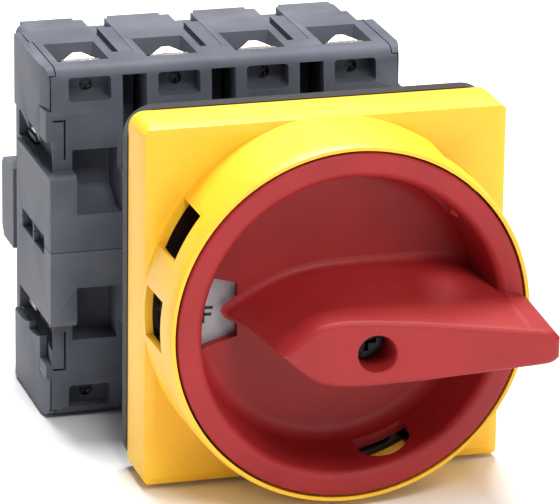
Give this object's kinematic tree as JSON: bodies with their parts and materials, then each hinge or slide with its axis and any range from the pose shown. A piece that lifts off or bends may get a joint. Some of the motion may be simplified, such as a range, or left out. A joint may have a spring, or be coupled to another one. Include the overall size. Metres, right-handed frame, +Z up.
{
  "type": "rotary isolator switch",
  "caption": "Through-panel rotary isolator switch: square front plate with round collar, padlockable dished handle with grip blade, and box-shaped pole housings with screw clamp terminals.",
  "frame": {"origin": "on the turning axis of the handle, in the outer face of the panel, which is the back of the seal", "axes": "+X to the right as seen by the person at the handle, +Y from the handle back into the cabinet along the turning axis, +Z up"},
  "size_m": [0.0677, 0.0977, 0.0604],
  "materials": {
    "yellow_plastic": "moulded, low gloss",
    "black_plastic": "moulded",
    "label_film": "printed film",
    "white_plastic": "moulded acetal",
    "black_rubber": "foam rubber",
    "dark_plastic": "moulded",
    "zinc_steel": "zinc plated",
    "grey_plastic": "fine spark-eroded texture",
    "spring_steel": "drawn wire",
    "copper": "stamped copper",
    "plated_steel": "nickel plated",
    "red_plastic": "fine matte texture",
    "dark_steel": "blackened",
    "brown_plastic": "moulded thermoset"
  },
  "bodies": {
    "base": {"front_plate": "yellow_plastic", "front_collar": "yellow_plastic", "lock_ring": "black_plastic", "legend_plate": "label_film", "hub_bush": "white_plastic", "panel_seal": "black_rubber", "mounting_tower": "dark_plastic", "panel_screws": "zinc_steel", "tower_screws": "zinc_steel", "upper_housing": "grey_plastic", "lower_housing": "grey_plastic", "left_cover_upper": "grey_plastic", "left_cover_lower": "grey_plastic", "right_cover_upper": "grey_plastic", "right_cover_lower": "grey_plastic", "rear_base": "grey_plastic", "base_screws": "zinc_steel", "bearing_plate": "dark_plastic", "index_spring": "spring_steel", "line_contacts": "copper", "load_contacts": "copper", "line_clamp_cages": "zinc_steel", "load_clamp_cages": "zinc_steel", "line_clamp_plates": "plated_steel", "load_clamp_plates": "plated_steel", "line_terminal_screws": "zinc_steel", "load_terminal_screws": "zinc_steel", "arc_plates": "zinc_steel"},
    "handle": {"rotary_handle": "red_plastic", "handle_screw": "dark_steel", "spring_washer": "dark_steel", "drive_shaft": "zinc_steel", "shaft_oring": "black_rubber", "drive_pinion": "white_plastic", "retaining_ring": "dark_steel"},
    "carriage": {"contact_carriage": "brown_plastic", "bridge_contacts": "copper", "contact_springs": "spring_steel", "spring_caps": "white_plastic"}
  },
  "joints": [
    {"name": "handle_turn", "type": "hinge", "parent": "base", "child": "handle", "pos_m": [0, 0, 0], "axis": [0, 1, 0], "range_deg": [0, 90]},
    {"name": "carriage_slide", "type": "slide", "parent": "base", "child": "carriage", "axis": [1, 0, 0], "range_m": [0, 0.00629]}
  ],
  "couplings": [
    {"joint": "carriage_slide", "follows": "handle_turn", "m_per_rad": 0.004}
  ]
}
